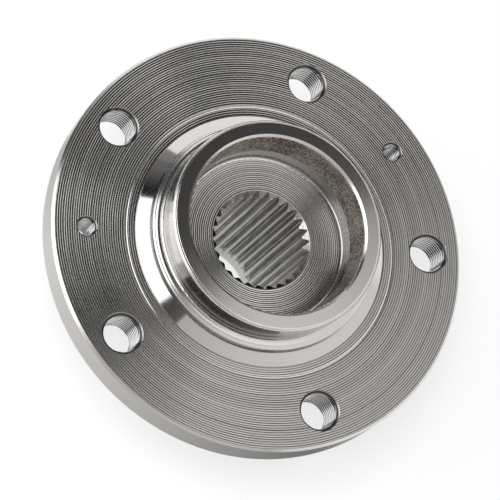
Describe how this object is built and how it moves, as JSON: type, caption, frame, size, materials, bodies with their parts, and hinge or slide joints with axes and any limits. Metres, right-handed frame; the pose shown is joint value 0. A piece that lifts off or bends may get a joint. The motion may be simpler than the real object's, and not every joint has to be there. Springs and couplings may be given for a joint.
{
  "type": "wheel hub bearing",
  "caption": "Driven wheel hub: bolt flange, stepped collar and splined bore, with a double-row angular contact ball bearing, cages and seals on its journal.",
  "frame": {"origin": "where the wheel axis meets the wheel mounting face", "axes": "+Z along the wheel axis, outboard towards the wheel; +X through one wheel bolt hole"},
  "size_m": [0.1292, 0.1292, 0.0748],
  "materials": {
    "hub_steel": "turned, with forged patches",
    "ring_steel": "ground",
    "ball_steel": "polished",
    "seal_sheet": "pressed sheet",
    "seal_rubber": "moulded",
    "encoder_rubber": "moulded, magnetised",
    "cage_polyamide": "moulded"
  },
  "bodies": {
    "outer": {"outer_ring": "ring_steel", "outboard_seal_case": "seal_sheet", "outboard_seal_lip": "seal_rubber", "inboard_seal_case": "seal_sheet", "inboard_seal_lip": "seal_rubber"},
    "hub": {"hub_flange": "hub_steel", "outboard_inner_ring": "ring_steel", "inboard_inner_ring": "ring_steel", "outboard_slinger": "seal_sheet", "inboard_slinger": "seal_sheet", "encoder_ring": "encoder_rubber"},
    "outboard_row": {"outboard_cage": "cage_polyamide", "outboard_ball_01": "ball_steel", "outboard_ball_02": "ball_steel", "outboard_ball_03": "ball_steel", "outboard_ball_04": "ball_steel", "outboard_ball_05": "ball_steel", "outboard_ball_06": "ball_steel", "outboard_ball_07": "ball_steel", "outboard_ball_08": "ball_steel", "outboard_ball_09": "ball_steel", "outboard_ball_10": "ball_steel", "outboard_ball_11": "ball_steel", "outboard_ball_12": "ball_steel", "outboard_ball_13": "ball_steel"},
    "inboard_row": {"inboard_cage": "cage_polyamide", "inboard_ball_01": "ball_steel", "inboard_ball_02": "ball_steel", "inboard_ball_03": "ball_steel", "inboard_ball_04": "ball_steel", "inboard_ball_05": "ball_steel", "inboard_ball_06": "ball_steel", "inboard_ball_07": "ball_steel", "inboard_ball_08": "ball_steel", "inboard_ball_09": "ball_steel", "inboard_ball_10": "ball_steel", "inboard_ball_11": "ball_steel", "inboard_ball_12": "ball_steel", "inboard_ball_13": "ball_steel"}
  },
  "joints": [
    {"name": "hub_spin", "type": "hinge", "parent": "outer", "child": "hub", "pos_m": [0, 0, -0.034], "axis": [0, 0, 1], "continuous": true},
    {"name": "outboard_row_spin", "type": "hinge", "parent": "outer", "child": "outboard_row", "pos_m": [0, 0, -0.0258], "axis": [0, 0, 1], "continuous": true},
    {"name": "inboard_row_spin", "type": "hinge", "parent": "outer", "child": "inboard_row", "pos_m": [0, 0, -0.0422], "axis": [0, 0, 1], "continuous": true}
  ],
  "couplings": [
    {"joint": "outboard_row_spin", "follows": "hub_spin", "ratio": 0.42988},
    {"joint": "inboard_row_spin", "follows": "hub_spin", "ratio": 0.42988}
  ]
}
